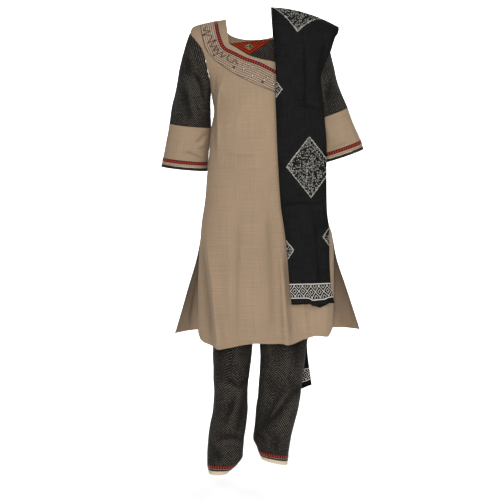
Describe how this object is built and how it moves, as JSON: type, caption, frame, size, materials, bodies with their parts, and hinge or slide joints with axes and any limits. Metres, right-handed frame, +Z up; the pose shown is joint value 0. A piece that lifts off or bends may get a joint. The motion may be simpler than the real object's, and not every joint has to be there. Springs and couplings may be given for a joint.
{
  "type": "salwar kameez suit",
  "caption": "Knee-length beige kameez with a crossed neck band and dark sleeves, worn over dark printed salwar, with a black dupatta folded over the left shoulder.",
  "frame": {"origin": "middle of the line between the shoulder seams, at the base of the neck, where the wearer holds the suit up", "axes": "+Z up, +X to the wearer's left, +Y to the wearer's back"},
  "size_m": [0.643, 0.3396, 1.4629],
  "materials": {
    "beige_cotton": "matt handloom cotton with a fine slub weave",
    "dark_print_cotton": "matt cotton with a small diagonal block print",
    "black_dupatta_cotton": "soft matt cotton with off-white block print",
    "maroon_ribbon": "woven ribbon with a ladder stripe and cream edges",
    "kantha_band": "cotton covered in running stitch and embroidery",
    "red_patch": "red-orange embroidered cloth",
    "cream_border": "plain cotton border"
  },
  "bodies": {
    "root": {"kameez_front": "beige_cotton", "kameez_back": "beige_cotton", "kameez_yoke": "dark_print_cotton", "yoke_patch": "red_patch", "neck_ribbon": "maroon_ribbon", "embroidered_band": "kantha_band", "sleeve_right": "dark_print_cotton", "sleeve_left": "dark_print_cotton", "cuff_right": "beige_cotton", "cuff_left": "beige_cotton", "cuff_ribbon_right": "maroon_ribbon", "cuff_ribbon_left": "maroon_ribbon", "cuff_piping_right": "dark_print_cotton", "cuff_piping_left": "dark_print_cotton", "salwar_leg_right": "dark_print_cotton", "salwar_leg_left": "dark_print_cotton", "salwar_waistband": "dark_print_cotton", "leg_ribbon_right": "maroon_ribbon", "leg_ribbon_left": "maroon_ribbon", "leg_border_right": "cream_border", "leg_border_left": "cream_border", "dupatta_front": "black_dupatta_cotton", "dupatta_back": "black_dupatta_cotton"}
  },
  "joints": []
}
